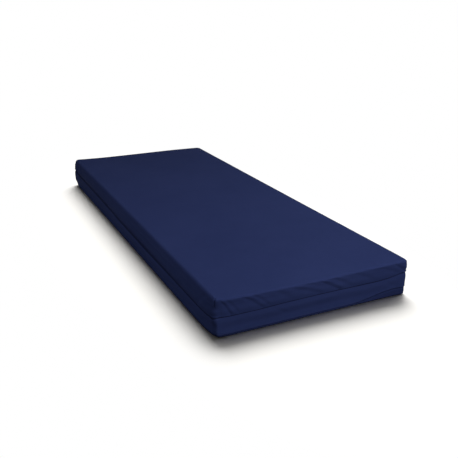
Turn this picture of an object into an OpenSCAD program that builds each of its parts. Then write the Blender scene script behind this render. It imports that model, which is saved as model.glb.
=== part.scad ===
// Static foam pressure relief mattress: a wipe-clean cover in two halves, joined by a
// zip all round that hides under a flap, over a castellated foam core in a knitted sock.
// Millimetres, +Z up. The origin is the middle of the underside and the foot end is at -Y.
// Cover shapes are drawn as rings: d is the distance in from the overall outline.

/* [Mattress] */
// Overall length, head to foot
bed_l = 2000; // [1800:10:2200]
// Overall width
bed_w = 800; // [700:10:1200]
// Overall height at the middle of the top
bed_h = 150; // [130:1:200]
// Corner radius seen from above
corner_r = 28; // [20:1:50]
// Rise of the top panel above its edges
crown = 3; // [0.5:0.5:8]
// Distance in from the edge over which the top panel rises
crown_reach = 240; // [120:10:300]
// How far the sides pull in halfway between the corners
side_draw = 3; // [0:0.5:6]

/* [Cover] */
// Thickness of the coated cover fabric
fabric_t = 1; // [0.6:0.1:1.6]
// Rounding of the top edge
top_edge_r = 16; // [8:1:24]
// Height of the upper border between the rounded edge and the flap's weld
upper_border_h = 13; // [6:1:30]
// How far the upper border stands in from the overall outline
border_in = 0.8; // [0.3:0.1:2]
// Rounding of the bottom edge
base_edge_r = 12; // [6:1:20]
// How far the base edge stands in from the belly of the lower border
base_in = 1.2; // [0.4:0.1:4]

/* [Zip flap] */
// Height of the hanging flap
flap_drop = 36; // [30:1:50]
// Thickness of the doubled flap
flap_t = 1.2; // [0.8:0.1:2]
// How far the weld line stands in from the overall outline
weld_in = 1.5; // [1.2:0.1:3]
// How far the flap's free edge stands in from the overall outline
flap_edge_in = 0.8; // [0.8:0.1:2]
// Outward bow of the flap between its weld and its free edge
flap_belly = 1; // [0.2:0.1:1.1]
// Slit between each flap and its corner piece
flap_slit = 0.8; // [0.5:0.1:2]
// Room between the flap and the zip pull that runs under it
flap_clear = 0.5; // [0.4:0.1:2]

/* [Zip] */
// Height of the weld line above the zip line
zip_below_weld = 18; // [15:0.5:22]
// Width of each half of the chain
chain_w = 3.2; // [2.4:0.1:4]
// Thickness of the chain
chain_t = 2.2; // [1.6:0.1:3]
// Gap between the two halves of the chain
chain_gap = 1.6; // [1.4:0.1:2.4]
// Thickness of the woven tape
tape_t = 0.8; // [0.5:0.1:1.2]
// How far the tape laps behind the cover
tape_lap = 6; // [3:0.5:6.5]

/* [Slider] */
// Length of the slider body
slider_l = 15; // [12:0.5:20]
// Thickness of the slider's two plates
plate_t = 1.4; // [1:0.1:2]
// Thickness of the lips along the slider's edges
lip_t = 1.2; // [0.8:0.1:1.6]
// Length of the pull tab from its pin
pull_l = 28; // [20:1:40]
// Width of the pull tab
pull_w = 6; // [4:0.5:8]
// Thickness of the pull tab
pull_t = 1.2; // [0.8:0.1:1.6]
// Diameter of the pull's pin
pin_d = 1.4; // [1:0.1:1.8]
// Wall of the pull's knuckle round the pin
knuckle_wall = 0.65; // [0.5:0.05:0.9]
// Length of the pull's knuckle along the pin
knuckle_l = 3.6; // [2.4:0.2:4.4]
// Thickness of the two ears that hold the pin
ear_t = 1.2; // [0.8:0.1:1.6]
// Length of the stop at the end of the zip
stop_l = 6; // [4:0.5:10]

/* [Foam core] */
// Thickness of the knitted sock round the foam
sock_t = 0.8; // [0.5:0.1:1.2]
// Width of the closing slit under the sock, beyond its rounded ends
sock_slit_w = 24; // [10:1:60]
// Height of the firm base foam
base_foam_h = 60; // [40:1:75]
// Width of the firm side bolsters
bolster_w = 90; // [60:5:140]
// Width of the firm bolsters at the head and foot
end_bolster_w = 60; // [40:5:100]
// Length of the head zone
head_l = 420; // [300:10:560]
// Length of the heel zone
heel_l = 480; // [300:10:560]
// Length and width of one cell in the head and torso zones
cell = 112; // [80:2:160]
// Length and width of one cell in the heel zone
heel_cell = 78; // [60:2:120]
// Width of the slots between the cells
slot_w = 5; // [3:0.5:8]
// Height of the foam left uncut under the slots
uncut_h = 38; // [25:1:45]

/* [Clearances] */
// Gap between layers of cover, sock and foam
layer_gap = 0.3; // [0.2:0.05:0.5]
// Glue line between pieces of foam
glue_gap = 0.3; // [0.1:0.05:0.5]
// Gap between the chain and the tape that it is sewn to
stitch_gap = 0.1; // [0.05:0.05:0.3]
// Running gap round the slider
run_gap = 0.3; // [0.2:0.05:0.4]
// Radial clearance of the pull on its pin
pin_clear = 0.05; // [0.02:0.01:0.1]
// Room past the pull's tip at the open end of the zip
end_clear = 6; // [3:1:12]

/* [Hidden] */

navy = [0.14, 0.18, 0.33];
navy_base = [0.12, 0.15, 0.29];
zip_navy = [0.09, 0.11, 0.2];
nickel = [0.55, 0.56, 0.58];
sock_white = [0.88, 0.88, 0.85];
foam_grey = [0.42, 0.44, 0.48];
foam_cream = [0.9, 0.86, 0.72];
foam_blue = [0.55, 0.66, 0.8];

// Heights, from the top down
edge_z = bed_h - crown;
border_z = edge_z - top_edge_r;
weld_z = border_z - upper_border_h;
zip_z = weld_z - zip_below_weld;
flap_edge_z = weld_z - flap_drop;

// The zip's layers, from the flap inwards, as distances in from the overall outline
knuckle_r = pin_d / 2 + pin_clear + knuckle_wall;
knuckle_in = weld_in + flap_t + flap_clear;
pin_in = knuckle_in + knuckle_r;
plate_in = pin_in + knuckle_r + run_gap;
chain_in = plate_in + plate_t + run_gap;
tape_in = chain_in + chain_t + stitch_gap;
back_plate_in = tape_in + tape_t + run_gap;
groove_in = back_plate_in + plate_t + run_gap;
zip_wall_in = tape_in - layer_gap - fabric_t;

// The slider's height over both halves of the chain, and the cover's two rims beside it
chain_reach = chain_gap / 2 + chain_w;
slider_h = 2 * (chain_reach + run_gap + lip_t);
web_t = chain_gap - 2 * run_gap;
rim_h = slider_h / 2 + run_gap;

// The open end of the zip, on the right side by the head
straight_end_y = bed_l / 2 - corner_r;
pull_reach = pull_l + end_clear;
slider_y = straight_end_y - pull_reach;
flap_right_end_y = slider_y - pull_reach;

corner_steps = 5;
long_side_points = 5;
short_side_points = 3;
ring_points = 2 * (long_side_points + short_side_points) + 4 * (corner_steps + 1);
cut = 1;

function turned(p, k) = let (c = cos(90 * k), s = sin(90 * k)) [p[0] * c - p[1] * s, p[0] * s + p[1] * c];

// One side of a ring and the corner after it. Side 0 faces +X, and the others follow anticlockwise.
function ring_side(d, draw, k) =
    let (
        out = (k % 2 == 0 ? bed_w : bed_l) / 2 - d,
        along = (k % 2 == 0 ? bed_l : bed_w) / 2 - d - corner_r,
        count = k % 2 == 0 ? long_side_points : short_side_points
    )
    concat(
        [for (i = [1:count]) let (t = 2 * i / (count + 1) - 1) [out - draw * (1 - t * t), along * t]],
        [for (i = [0:corner_steps]) let (a = 90 * i / corner_steps)
            [out - corner_r + corner_r * cos(a), along + corner_r * sin(a)]]
    );

// A closed ring of points, d in from the outline at height z. p is [d, z, draw-in of its sides].
function ring(p) = [for (k = [0:3]) for (q = ring_side(p[0], p[2], k)) concat(turned(q, k), p[1])];

// The faces between two rings. The diagonal turns over where a skin runs up, so that both skins split alike.
function side_faces(i, next, down = true) = [
    for (j = [0:ring_points - 1])
        let (
            j2 = (j + 1) % ring_points,
            a = i * ring_points + j,
            b = i * ring_points + j2,
            c = next * ring_points + j2,
            e = next * ring_points + j
        )
        each (down ? [[a, b, c], [a, c, e]] : [[a, b, e], [b, c, e]])
];

// A solid through rings, from a cap that faces up to a cap that faces down.
// Each cap is a fan from its middle.
module loft(profile) {
    last = len(profile) - 1;
    top_middle = len(profile) * ring_points;
    polyhedron(
        points = concat(
            [for (p = profile) each ring(p)],
            [[0, 0, profile[0][1]], [0, 0, profile[last][1]]]
        ),
        faces = concat(
            [for (j = [0:ring_points - 1]) [top_middle, (j + 1) % ring_points, j]],
            [for (i = [0:last - 1]) each side_faces(i, i + 1, profile[i + 1][1] <= profile[i][1])],
            [for (j = [0:ring_points - 1])
                [top_middle + 1, last * ring_points + j, last * ring_points + (j + 1) % ring_points]]
        ),
        convexity = 8
    );
}

// A band all round the mattress. Its section runs down the outside and up the inside.
module band(section) {
    count = len(section);
    polyhedron(
        points = [for (p = section) each ring([p[0], p[1], 0])],
        faces = [for (i = [0:count - 1]) each side_faces(i, (i + 1) % count)],
        convexity = 8
    );
}

function normal_in(a, b) = let (t = [b[0] - a[0], b[1] - a[1]]) [-t[1], t[0]] / norm(t);

// A profile moved inwards by t, square to its own line
function inside(profile, t) = [
    for (i = [0:len(profile) - 1])
        let (
            p = profile[i],
            before = normal_in(profile[max(i - 1, 0)], profile[max(i, 1)]),
            after = normal_in(profile[min(i, len(profile) - 2)], profile[min(i + 1, len(profile) - 1)]),
            m = (before + after) / (1 + before * after)
        )
        [p[0] + t * m[0], p[1] + t * m[1], p[2]]
];

function backwards(list) = [for (i = [len(list) - 1:-1:0]) list[i]];

function crown_z(d) = bed_h - crown * pow(1 - (d - top_edge_r) / (crown_reach - top_edge_r), 2);

// The skin over the top panel and round its edge, through steps of the crown and angles of the edge
function top_skin(steps, angles) = concat(
    [for (f = steps) let (d = top_edge_r + f * (crown_reach - top_edge_r)) [border_in + d, crown_z(d), 0]],
    [for (a = angles)
        [border_in + top_edge_r * (1 - sin(a)), border_z + top_edge_r * cos(a), side_draw * sin(a)]]
);

// The skin round the bottom edge, through the given angles
function base_skin(angles) = [
    for (a = angles)
        [base_in + base_edge_r * (1 - cos(a)), base_edge_r * (1 - sin(a)), side_draw * cos(a)]
];

// The outer skin of the top cover: over the edge, down to the weld line and in behind the flap to the zip
crown_steps = [1, 0.62, 0.34, 0.14];
edge_angles = [0, 22.5, 45, 67.5, 90];
border_foot_z = weld_z + upper_border_h / 3;
top_wall = concat(
    top_skin(crown_steps, edge_angles),
    [
        [border_in, border_foot_z, 0],
        [weld_in, weld_z, 0],
        [knuckle_in, weld_z, 0],
        [zip_wall_in, weld_z - (zip_below_weld - rim_h) / 2, 0],
        [zip_wall_in, zip_z + rim_h, 0]
    ]
);

// The outer skin of the base cover: it turns out from the zip to a lip under the flap, and down to the base
lip_in = flap_edge_in + flap_t + layer_gap;
lip_rise = zip_z - rim_h - flap_edge_z;
lip_fold = 0.7;
belly_z = (flap_edge_z + base_edge_r) / 2;
base_angles = [0, 30, 60, 90];
base_wall = concat(
    [
        [zip_wall_in, zip_z - rim_h, 0],
        [zip_wall_in, flap_edge_z + lip_rise * lip_fold, 0],
        [(zip_wall_in + lip_in) / 2, flap_edge_z + lip_rise * lip_fold / 2, 0],
        [lip_in, flap_edge_z, 0],
        [lip_in / 2, flap_edge_z - flap_drop / 8, 0],
        [base_in / 3, flap_edge_z - flap_drop / 2, side_draw / 2],
        [0, belly_z, side_draw],
        [base_in / 3, base_edge_r * 2, side_draw]
    ],
    base_skin(base_angles)
);

// The sock lies inside both halves of the cover, in fewer steps, and is drawn in behind the zip
cover_depth = fabric_t + layer_gap;
sock_crown_steps = [1, 0.4];
sock_edge_angles = [0, 45, 90];
sock_base_angles = [0, 60, 90];
sock_wall = concat(
    inside(top_skin(sock_crown_steps, sock_edge_angles), cover_depth),
    [
        [border_in + cover_depth, border_foot_z, 0],
        [groove_in, weld_z - cover_depth, 0],
        [groove_in, flap_edge_z + lip_rise / 2, 0],
        [lip_in + fabric_t, flap_edge_z - flap_drop / 4, 0],
        [cover_depth, belly_z, side_draw]
    ],
    inside(base_skin(sock_base_angles), cover_depth)
);
sock_mouth = concat(sock_wall, [[bed_w / 2 - corner_r - sock_slit_w / 2, cover_depth, 0]]);
foam_wall = inside(sock_wall, sock_t + layer_gap);

// Places of the foam pieces inside the core
foam_in = border_in + fabric_t + sock_t + 2 * layer_gap;
base_foam_z = fabric_t + sock_t + 2 * layer_gap;
base_foam_top = base_foam_z + base_foam_h;
zone_half_w = bed_w / 2 - foam_in - bolster_w - glue_gap;
zone_end_y = bed_l / 2 - foam_in - end_bolster_w - glue_gap;
zone_z = base_foam_top + glue_gap;
zone_top = crown_z(foam_in + end_bolster_w) - fabric_t - sock_t - 3 * layer_gap;

// The flap's section, with the weld at its top and x outwards from the overall outline
flap_steps = 6;
function flap_out(s) = -(weld_in * (1 - s) + flap_edge_in * s - flap_belly * sin(180 * s));
function flap_height(s) = weld_z - layer_gap - s * (flap_drop - layer_gap);
flap_section = concat(
    [for (i = [0:flap_steps]) let (s = i / flap_steps) [flap_out(s), flap_height(s)]],
    [for (i = [flap_steps:-1:0]) let (s = i / flap_steps) [flap_out(s) - flap_t, flap_height(s)]]
);

// A flap along one side, with its middle at "at" and its weld "reach" out from the middle of the mattress
module flap(side, reach, length, at = 0) {
    color(navy)
        rotate([0, 0, 90 * side])
            translate([reach, at, 0])
                rotate([90, 0, 0])
                    linear_extrude(height = length, center = true)
                        polygon(flap_section);
}

module top_cover() {
    color(navy)
        loft(concat(top_wall, backwards(inside(top_wall, fabric_t))));
}

module base_cover() {
    color(navy_base)
        loft(concat(backwards(inside(base_wall, fabric_t)), base_wall));
}

flap_long = bed_l - 2 * corner_r - 2 * flap_slit;
flap_short = bed_w - 2 * corner_r - 2 * flap_slit;
flap_right_start_y = flap_slit - straight_end_y;

module flap_foot() {
    flap(3, bed_l / 2, flap_short);
}

module flap_head() {
    flap(1, bed_l / 2, flap_short);
}

module flap_left() {
    flap(2, bed_w / 2, flap_long);
}

module flap_right() {
    flap(0, bed_w / 2, flap_right_end_y - flap_right_start_y, (flap_right_end_y + flap_right_start_y) / 2);
}

// Fixed pieces that carry the flap round the four corners
module flap_corners() {
    color(navy)
        for (k = [0:3])
            translate([
                (k == 0 || k == 3 ? 1 : -1) * (bed_w / 2 - corner_r),
                (k < 2 ? 1 : -1) * straight_end_y,
                0
            ])
                rotate([0, 0, 90 * k])
                    rotate_extrude(angle = 90, $fn = 96)
                        translate([corner_r, 0])
                            polygon(flap_section);
}

// up is 1 for the half above the zip line and -1 for the half below it
function zip_band(up, d, thick, low, high) =
    up > 0
        ? [[d, zip_z + high], [d, zip_z + low], [d + thick, zip_z + low], [d + thick, zip_z + high]]
        : [[d, zip_z - low], [d, zip_z - high], [d + thick, zip_z - high], [d + thick, zip_z - low]];

module zip_tape(up) {
    color(zip_navy)
        band(zip_band(up, tape_in, tape_t, chain_gap / 2 + stitch_gap, rim_h + tape_lap));
}

module zip_chain(up) {
    bevel = chain_t / 4;
    front = chain_in;
    back = chain_in + chain_t;
    low = zip_z + (up > 0 ? chain_gap / 2 : -chain_reach);
    high = low + chain_w;
    color(zip_navy)
        band([
            [front + bevel, high],
            [front, high - bevel],
            [front, low + bevel],
            [front + bevel, low],
            [back, low],
            [back, high]
        ]);
}

module upper_zip_tape() {
    zip_tape(1);
}

module lower_zip_tape() {
    zip_tape(-1);
}

module upper_zip_chain() {
    zip_chain(1);
}

module lower_zip_chain() {
    zip_chain(-1);
}

// A block on the right side, from "from" to "to" in from the outline
module side_block(from, to, y, length, z, height) {
    translate([bed_w / 2 - to, y - length / 2, z - height / 2])
        cube([to - from, length, height]);
}

// Two plates joined by a web between the halves of the chain, with lips along the front plate
module zip_clasp(y, length) {
    side_block(plate_in, plate_in + plate_t, y, length, zip_z, slider_h);
    side_block(plate_in, back_plate_in + plate_t, y, length, zip_z, web_t);
    side_block(back_plate_in, back_plate_in + plate_t, y, length, zip_z, slider_h);
    for (up = [-1, 1])
        side_block(plate_in, tape_in - run_gap, y, length, zip_z + up * (slider_h - lip_t) / 2, lip_t);
}

module zip_stop() {
    color(nickel)
        zip_clasp(slider_y + (slider_l + stop_l) / 2 + run_gap, stop_l);
}

module zip_slider() {
    pin_l = knuckle_l + 2 * run_gap + 2 * ear_t;
    color(nickel) {
        zip_clasp(slider_y, slider_l);
        translate([bed_w / 2 - pin_in, slider_y, zip_z])
            cylinder(h = pin_l, d = pin_d, center = true, $fn = 48);
        for (up = [-1, 1])
            translate([bed_w / 2 - pin_in, slider_y, zip_z + up * (pin_l - ear_t) / 2]) {
                cylinder(h = ear_t, r = knuckle_r, center = true, $fn = 48);
                translate([-(plate_in - pin_in) - plate_t / 2, -knuckle_r, -ear_t / 2])
                    cube([plate_in - pin_in + plate_t / 2, 2 * knuckle_r, ear_t]);
            }
    }
}

module zip_pull() {
    tab_r = pull_w / 2;
    neck_w = min(pull_w, knuckle_l);
    color(nickel)
        translate([bed_w / 2 - pin_in, slider_y, zip_z])
            difference() {
                union() {
                    cylinder(h = knuckle_l, r = knuckle_r, center = true, $fn = 48);
                    translate([-pull_t / 2, 0, -neck_w / 2])
                        cube([pull_t, slider_l / 2 + tab_r, neck_w]);
                    translate([-pull_t / 2, slider_l / 2, 0])
                        rotate([0, 90, 0])
                            linear_extrude(height = pull_t) {
                                translate([0, tab_r])
                                    circle(r = tab_r, $fn = 48);
                                translate([-tab_r, tab_r])
                                    square([pull_w, pull_l - slider_l / 2 - pull_w]);
                                translate([0, pull_l - slider_l / 2 - tab_r])
                                    circle(r = tab_r, $fn = 48);
                            }
                }
                cylinder(h = knuckle_l + 2 * cut, d = pin_d + 2 * pin_clear, center = true, $fn = 48);
            }
}

module inner_sock() {
    color(sock_white)
        loft(concat(sock_mouth, backwards(inside(sock_mouth, sock_t))));
}

// The part of the foam core that lies in a box from low to high
module core_piece(low, high) {
    intersection() {
        loft(foam_wall);
        translate(low)
            cube(high - low);
    }
}

module base_foam() {
    color(foam_grey)
        core_piece([-bed_w / 2, -bed_l / 2, 0], [bed_w / 2, bed_l / 2, base_foam_top]);
}

module left_bolster() {
    color(foam_grey)
        core_piece([-bed_w / 2, -bed_l / 2, zone_z], [-zone_half_w - glue_gap, bed_l / 2, bed_h]);
}

module right_bolster() {
    color(foam_grey)
        core_piece([zone_half_w + glue_gap, -bed_l / 2, zone_z], [bed_w / 2, bed_l / 2, bed_h]);
}

module head_bolster() {
    color(foam_grey)
        core_piece([-zone_half_w, zone_end_y + glue_gap, zone_z], [zone_half_w, bed_l / 2, bed_h]);
}

module foot_bolster() {
    color(foam_grey)
        core_piece([-zone_half_w, -bed_l / 2, zone_z], [zone_half_w, -zone_end_y - glue_gap, bed_h]);
}

// A block of foam from start_y to end_y, slotted from above into equal cells of about the given size
module castellated_zone(start_y, end_y, size) {
    length = end_y - start_y;
    width = 2 * zone_half_w;
    rows = round(length / size);
    columns = round(width / size);
    slot_z = zone_z + uncut_h;
    slot_h = zone_top - slot_z + cut;
    difference() {
        translate([-zone_half_w, start_y, zone_z])
            cube([width, length, zone_top - zone_z]);
        for (i = [1:rows - 1])
            translate([-zone_half_w - cut, start_y + i * length / rows - slot_w / 2, slot_z])
                cube([width + 2 * cut, slot_w, slot_h]);
        for (i = [1:columns - 1])
            translate([-zone_half_w + i * width / columns - slot_w / 2, start_y - cut, slot_z])
                cube([slot_w, length + 2 * cut, slot_h]);
    }
}

module head_zone() {
    color(foam_cream)
        castellated_zone(zone_end_y - head_l, zone_end_y, cell);
}

module torso_zone() {
    color(foam_cream)
        castellated_zone(heel_l - zone_end_y + glue_gap, zone_end_y - head_l - glue_gap, cell);
}

module heel_zone() {
    color(foam_blue)
        castellated_zone(-zone_end_y, heel_l - zone_end_y, heel_cell);
}

top_cover();
base_cover();
flap_foot();
flap_head();
flap_left();
flap_right();
flap_corners();
upper_zip_tape();
lower_zip_tape();
upper_zip_chain();
lower_zip_chain();
zip_stop();
zip_slider();
zip_pull();
inner_sock();
base_foam();
left_bolster();
right_bolster();
head_bolster();
foot_bolster();
head_zone();
torso_zone();
heel_zone();
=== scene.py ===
import math

import bmesh
import bpy
import numpy as np
from mathutils import Matrix, Vector


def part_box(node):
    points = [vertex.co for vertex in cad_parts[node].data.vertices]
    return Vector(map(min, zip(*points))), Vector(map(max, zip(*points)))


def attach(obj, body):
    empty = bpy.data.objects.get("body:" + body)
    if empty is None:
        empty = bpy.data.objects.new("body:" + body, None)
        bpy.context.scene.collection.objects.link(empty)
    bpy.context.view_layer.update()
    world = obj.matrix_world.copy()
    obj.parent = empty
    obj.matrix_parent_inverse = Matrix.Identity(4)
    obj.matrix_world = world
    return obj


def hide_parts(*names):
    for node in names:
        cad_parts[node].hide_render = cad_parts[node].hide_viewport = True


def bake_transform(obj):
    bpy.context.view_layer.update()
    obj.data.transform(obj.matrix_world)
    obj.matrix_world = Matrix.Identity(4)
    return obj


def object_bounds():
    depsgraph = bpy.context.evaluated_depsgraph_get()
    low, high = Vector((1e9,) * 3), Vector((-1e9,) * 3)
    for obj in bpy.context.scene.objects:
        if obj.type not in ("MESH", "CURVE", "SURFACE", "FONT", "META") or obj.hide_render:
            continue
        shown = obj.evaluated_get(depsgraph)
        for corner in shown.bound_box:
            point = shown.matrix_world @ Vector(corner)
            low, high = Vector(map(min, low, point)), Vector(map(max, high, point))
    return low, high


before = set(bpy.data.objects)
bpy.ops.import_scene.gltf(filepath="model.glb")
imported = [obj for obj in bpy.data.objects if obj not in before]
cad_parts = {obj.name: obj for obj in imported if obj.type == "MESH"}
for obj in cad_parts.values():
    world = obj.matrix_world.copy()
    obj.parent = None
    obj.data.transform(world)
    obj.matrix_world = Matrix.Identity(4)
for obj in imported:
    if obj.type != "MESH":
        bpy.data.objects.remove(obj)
cadLow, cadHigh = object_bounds()
print("frame loaded with", len(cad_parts), "nodes")

mm = 0.001
quarter = math.pi / 2
sideNames = ["right", "head", "left", "foot"]  # anticlockwise from above, as in every list by side


def boxMm(node):
    # lowest and highest corners of one of the frame's solids, in millimetres
    return [np.round(np.array(corner) / mm, 1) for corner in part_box(node)]


# The mattress outline. Shapes are worked out in millimetres, as distances in from this outline.
bedWide, bedLong, bedHigh = [round((high - low) / mm) for low, high in zip(cadLow, cadHigh)]
halfWide, halfLong = bedWide / 2, bedLong / 2
sideHalf = [halfLong, halfWide, halfLong, halfWide]
rightFlapEnd = boxMm("flap_right")[1][1]  # the right flap stops short of the slider
bed = {
    "cornerR": 18,  # of the cover's own corners
    "coreR": 28,  # of the zip and the core inside them
    "openFrom": 2.5,  # how far in the corners start to open out from the one to the other
    "openOver": 6,
    "longPoints": 236,  # columns along each long side
    "shortPoints": 174,
    "cornerSteps": 14,
    "flapStop": 28,  # how far short of the corner a flap stops
    "slitHalf": 0.25,
    "waveCount": 14,  # waves in each uneven field
    "waveSpread": (0.7, 1.8),  # their lengths, as shares of the size asked for
}


def sideSteps(count, half, stops):
    # even steps along a side, with a pair of columns at each stop for the slit there
    marks = sorted([e for s in stops for e in (s - bed["slitHalf"], s + bed["slitHalf"])])
    even = np.linspace(-half, half, count - len(marks) + 1)[:-1]
    steps = np.sort(np.concatenate([even + (even[1] - even[0]) / 2, marks]))
    return steps / half


def makeColumns():
    longStop, shortStop = halfLong - bed["flapStop"], halfWide - bed["flapStop"]
    longStops = [-longStop, rightFlapEnd + bed["slitHalf"], longStop]
    longSteps = sideSteps(bed["longPoints"], halfLong - bed["cornerR"], longStops)
    shortSteps = sideSteps(bed["shortPoints"], halfWide - bed["cornerR"], [-shortStop, shortStop])
    side, run, turn, bend = [], [], [], []
    turns = bed["cornerSteps"] + 1
    for k, steps in enumerate([longSteps, shortSteps, -longSteps[::-1], shortSteps]):
        side += [k] * (len(steps) + turns)
        run += list(steps) + [1.0] * turns
        turn += [0.0] * len(steps) + list(np.linspace(0, quarter, turns))
        bend += [False] * len(steps) + [True] * turns
    return np.array(side), np.array(run), np.array(turn), np.array(bend)


columnSide, columnRun, columnTurn, columnBend = makeColumns()
columnCount = len(columnSide)
straightOf = [np.flatnonzero((columnSide == k) & ~columnBend) for k in range(4)]
bendOf = [np.flatnonzero((columnSide == k) & columnBend) for k in range(4)]
alongHalf = np.array(sideHalf)[columnSide]
outHalf = np.array(sideHalf)[columnSide - 1]
sideCos, sideSin = np.cos(columnSide * quarter), np.sin(columnSide * quarter)


def ringXY(d, draw=0.0, radius=bed["cornerR"]):
    # points of one ring, d in from the outline, its straight sides drawn in by draw at their middles
    outMiddle, alongMiddle = outHalf - d - radius, alongHalf - d - radius
    straightOut = outHalf - d - draw * (1 - columnRun * columnRun)
    out = np.where(columnBend, outMiddle + radius * np.cos(columnTurn), straightOut)
    along = np.where(columnBend, alongMiddle + radius * np.sin(columnTurn), alongMiddle * columnRun)
    return np.stack([out * sideCos - along * sideSin, out * sideSin + along * sideCos], axis=1)


def ring(d, z, draw=0.0, radius=bed["cornerR"]):
    return np.column_stack([ringXY(d, draw, radius), np.broadcast_to(np.asarray(z, float), columnCount)])


outlineXY = ringXY(0.0)
outlineX, outlineY = outlineXY.T
sideRun = [outlineY, -outlineX, -outlineY, outlineX]  # how far along each side the columns lie
sideOut = [outlineX, outlineY, -outlineX, -outlineY]  # and how far out from the middle


def smooth(x):
    x = np.clip(x, 0, 1)
    return x * x * (3 - 2 * x)


def rising(x, start, over):
    return smooth((x - start) / over)


def near(x, middle, reach):
    return np.exp(-((x - middle) / reach) ** 2)


def fading(x, reach):
    return np.clip(1 - x / reach, 0, 1) ** 2


def bySide(values):
    # one value per side, turning smoothly into the next side's at each corner
    here, after = np.array(values, float)[columnSide], np.roll(values, -1).astype(float)[columnSide]
    return here + (after - here) * smooth(columnTurn / quarter)


def softWaves(x, y, size, seed):
    # a smooth uneven field of about unit height, with waves about the given size in millimetres
    rng = np.random.default_rng(seed)
    total = np.zeros(np.broadcast(x, y).shape)
    for _ in range(bed["waveCount"]):
        turn, phase = rng.uniform(0, 2 * math.pi, 2)
        k = 2 * math.pi / (size * rng.uniform(*bed["waveSpread"]))
        total = total + np.sin(k * (x * math.cos(turn) + y * math.sin(turn)) + phase)
    return total / math.sqrt(bed["waveCount"])


# The flap's free edge, side by side as (along the side, height)
hem = {
    "right": [(-972, 95), (-909, 90), (-505, 85), (0, 84), (903, 83), (972, 84)],
    "head": [(-375, 84), (0, 82), (300, 86), (375, 94)],
    "left": [(-972, 95), (-900, 89), (-626, 87), (-418, 85), (-230, 82), (-60, 77), (240, 75), (492, 73),
             (708, 70), (895, 68), (935, 71), (972, 77)],
    "foot": [(-372, 80), (-357, 78), (-329, 77), (-225, 77), (-147, 80), (-66, 81), (17, 82), (101, 82),
             (190, 81), (280, 81.5), (326, 85), (349, 89), (372, 95)],
    "softenings": 3,
    "weldZ": 118,
    "splitZ": 120.5,  # where the flap pieces part from the border above them
    "backZ": 119.2,  # top of their back face
    "thick": 1.2,
    "rows": 16,
    "edgeSteps": 5,
}


def hemHeights():
    z = np.zeros(columnCount)
    for k, name in enumerate(sideNames):
        at, high = np.array(hem[name], float).T
        straight, bend = straightOf[k], bendOf[k]
        z[straight] = np.interp(columnRun[straight] * (sideHalf[k] - bed["cornerR"]), at, high)
        after = hem[sideNames[(k + 1) % 4]][0][1]
        z[bend] = high[-1] + (after - high[-1]) * smooth(columnTurn[bend] / quarter)
    for _ in range(hem["softenings"]):
        z = (np.roll(z, 1) + 2 * z + np.roll(z, -1)) / 4
    return z


hemZ = hemHeights()

# Folds in the border: both ends as (along the side, height), then depth and half width
folds = {
    "foot": [
        ((-292, 138), (-218, 84), 1.7, 8), ((-252, 137), (-195, 90), 1.2, 7),
        ((-165, 132), (-105, 94), 0.8, 9), ((-98, 126), (14, 89), 1.4, 8),
        ((-45, 136), (62, 94), 0.9, 9), ((15, 130), (99, 84), 2.1, 7),
        ((66, 135), (142, 92), 1.0, 8), ((160, 134), (240, 95), 0.8, 9),
        ((-376, 140), (-336, 84), 1.5, 6), ((-352, 138), (-310, 90), 0.8, 6),
        ((275, 132), (352, 100), 0.9, 8), ((338, 142), (376, 114), 1.0, 5),
        ((350, 126), (384, 102), 1.0, 5),
    ],
    "left": [
        ((939, 140), (869, 84), 1.2, 9), ((707, 138), (606, 84), 0.6, 12),
        ((-889, 138), (-939, 90), 1.1, 9), ((121, 136), (30, 84), 0.5, 14),
    ],
    "right": [
        ((-939, 138), (-869, 96), 1.1, 9), ((-303, 136), (-202, 96), 0.6, 12),
        ((505, 136), (596, 96), 0.7, 11),
    ],
    "head": [
        ((-345, 138), (-300, 92), 1.1, 8), ((-55, 136), (27, 90), 0.8, 10), ((227, 136), (318, 92), 1.0, 9),
    ],
}
baseFolds = {
    "foot": [
        ((-190, 76), (-125, 42), 0.9, 8), ((-150, 74), (-100, 50), 0.5, 7), ((60, 76), (138, 52), 0.5, 9),
        ((296, 78), (360, 38), 0.8, 10),
    ],
    "left": [((909, 58), (788, 26), 0.7, 10), ((-303, 66), (-424, 30), 0.5, 12)],
    "right": [((-828, 80), (-707, 40), 0.7, 10)],
    "head": [((91, 74), (182, 36), 0.7, 10)],
}
foldForm = {
    "before": 0.35,  # how much of a fold stands at its first end
    "beyond": 1.25,  # where it has gone, as a share of its length
    "fade": 0.3,
    "ridge": 0.62,  # the swell beside the groove, in shares of its depth and width
    "ridgeAt": 1.7,
    "ridgeWide": 1.25,
}


def foldField(table, z):
    # outward push in millimetres at height z of each column
    push = np.zeros(columnCount)
    for k, name in enumerate(sideNames):
        onSide = smooth((sideOut[k] - sideHalf[k - 1] + bed["cornerR"]) / bed["cornerR"])
        for start, end, depth, wide in table[name]:
            line = np.subtract(end, start)
            size = np.linalg.norm(line)
            unitX, unitZ = line / size
            x, up = sideRun[k] - start[0], z - start[1]
            along = (x * unitX + up * unitZ) / size
            across = (up * unitX - x * unitZ) / wide
            fade = smooth(along / foldForm["fade"] + foldForm["before"])
            fade = fade * smooth((foldForm["beyond"] - along) / foldForm["fade"])
            ridge = foldForm["ridge"] * near(across, foldForm["ridgeAt"], foldForm["ridgeWide"])
            push += depth * fade * (ridge - near(across, 0, 1)) * onSide
    return push


cornerPlaces = [(1, 1), (-1, 1), (-1, -1), (1, -1)]
cornerGaps = [np.hypot(outlineX - x * halfWide, outlineY - y * halfLong) for x, y in cornerPlaces]
nearLeft, nearRight = cornerGaps[2], cornerGaps[3]  # how far each column is from the corners of the foot
cornerReach = 34
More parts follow.
